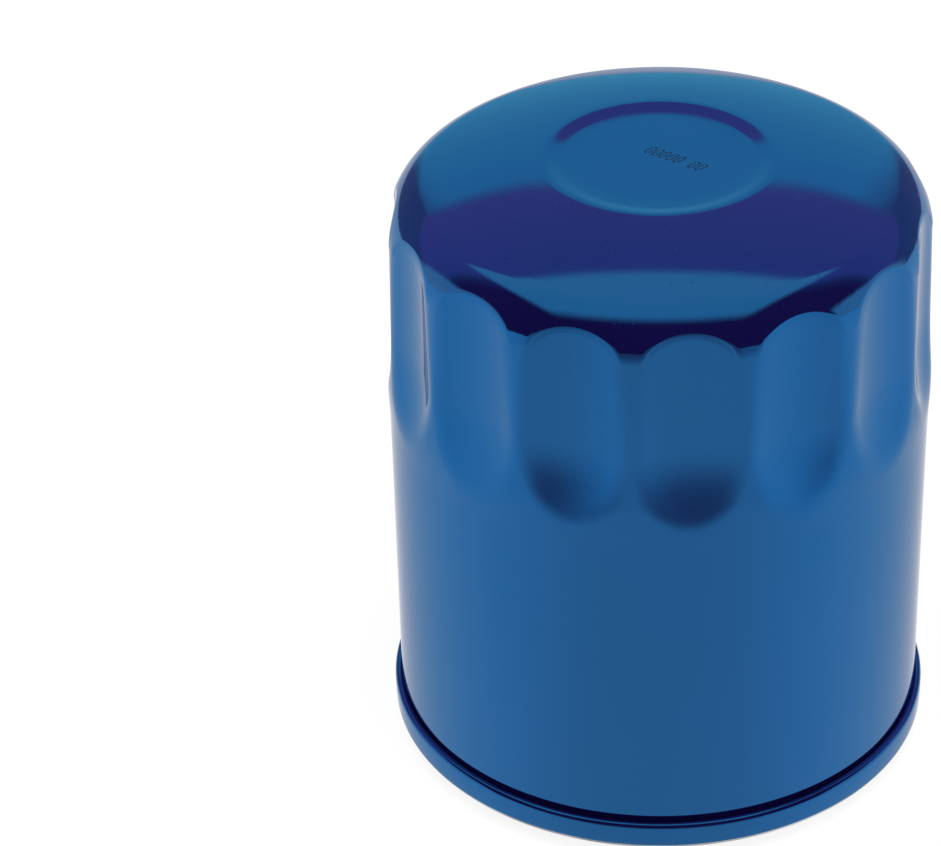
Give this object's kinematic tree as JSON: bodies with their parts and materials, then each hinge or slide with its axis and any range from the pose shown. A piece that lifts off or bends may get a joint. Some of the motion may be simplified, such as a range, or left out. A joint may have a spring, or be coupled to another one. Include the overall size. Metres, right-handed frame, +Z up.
{
  "type": "spin-on oil filter",
  "caption": "Spin-on oil filter: blue steel can with a domed, fluted end, threaded base plate, gasket, pleated element, drain-back flap and bypass valve.",
  "frame": {"origin": "on the filter's axis at the gasket's sealing face, the lowest point", "axes": "+Z up the axis from the engine's side to the domed end; one wrench flute faces -Y; the paper's seam is at +X"},
  "size_m": [0.0782, 0.0782, 0.0916],
  "materials": {
    "blue_enamel": "gloss",
    "tinplate": "satin",
    "plate_steel": "satin",
    "zinc_steel": "satin",
    "spring_steel": "satin",
    "gasket_rubber": "satin",
    "valve_rubber": "satin",
    "filter_paper": "matte",
    "plastisol": "satin",
    "sealing_compound": "matte"
  },
  "bodies": {
    "housing": {"can": "blue_enamel", "seaming_lid": "tinplate", "seam_compound": "sealing_compound", "base_plate": "plate_steel", "mounting_gasket": "gasket_rubber", "lower_end_cap": "zinc_steel", "lower_adhesive": "plastisol", "centre_tube": "zinc_steel", "filter_paper": "filter_paper", "paper_seam_clip": "zinc_steel", "upper_adhesive": "plastisol", "upper_end_cap": "zinc_steel", "bypass_cage": "zinc_steel", "bypass_spring": "spring_steel", "element_spring": "spring_steel"},
    "bypass_valve": {"bypass_disc": "zinc_steel", "bypass_seal": "valve_rubber", "bypass_stem": "plate_steel", "bypass_clip": "spring_steel"},
    "drainback_flap": {"drainback_valve": "valve_rubber"}
  },
  "joints": [
    {"name": "bypass_lift", "type": "slide", "parent": "housing", "child": "bypass_valve", "axis": [0, 0, -1], "range_m": [0, 0.0025], "stiffness_N_per_m": 750, "springref_m": -0.011, "deforming": ["bypass_spring"]},
    {"name": "drainback_lift", "type": "slide", "parent": "housing", "child": "drainback_flap", "axis": [0, 0, 1], "range_m": [0, 0.0015], "stiffness_N_per_m": 300, "springref_m": -0.0005, "deforming": ["drainback_valve"]}
  ]
}
